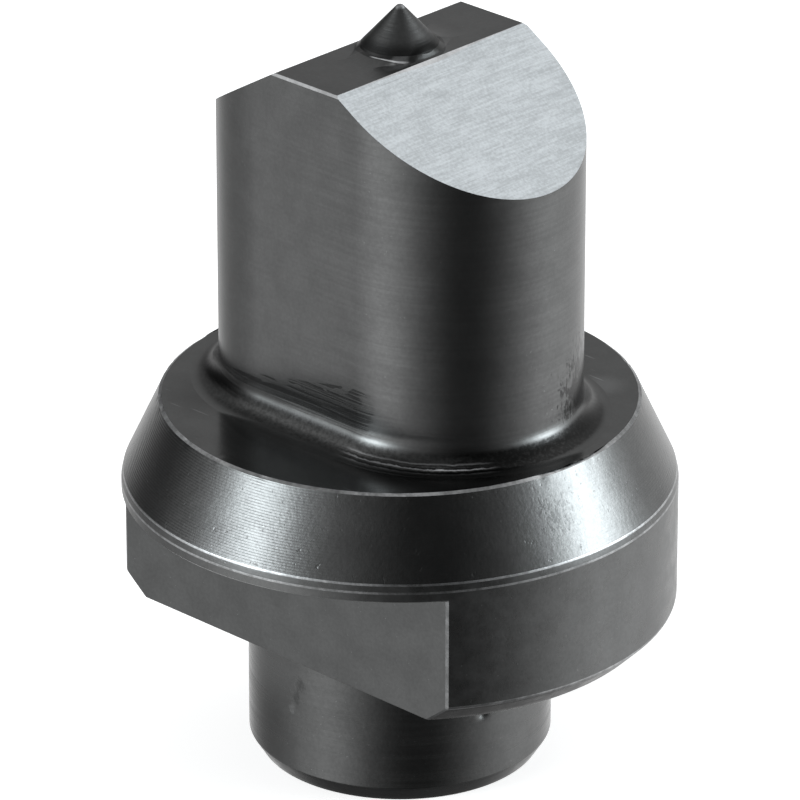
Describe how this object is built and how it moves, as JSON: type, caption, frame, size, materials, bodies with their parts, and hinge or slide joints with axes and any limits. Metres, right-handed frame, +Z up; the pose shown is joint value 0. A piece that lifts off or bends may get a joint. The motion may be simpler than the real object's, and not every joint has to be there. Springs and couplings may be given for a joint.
{
  "type": "oval punch",
  "caption": "One-piece oval hole punch: locating spigot, keyed flange with a retaining cone, obround shank and a double-sloped roof with a centring nib.",
  "frame": {"origin": "on the turning axis, in the end face of the spigot that the punch stands on", "axes": "+Z up along the axis from the spigot to the centring nib, X along the long way of the oval, -Y the way the key flat faces"},
  "size_m": [0.0293, 0.0292, 0.0419],
  "materials": {
    "tool_steel": "hardened tool steel with a thin dark oxide, satin and slightly glossy, turned and milled; the two roof slopes are freshly ground, bare and pale grey"
  },
  "bodies": {
    "root": {"oval_punch": "tool_steel"}
  },
  "joints": []
}
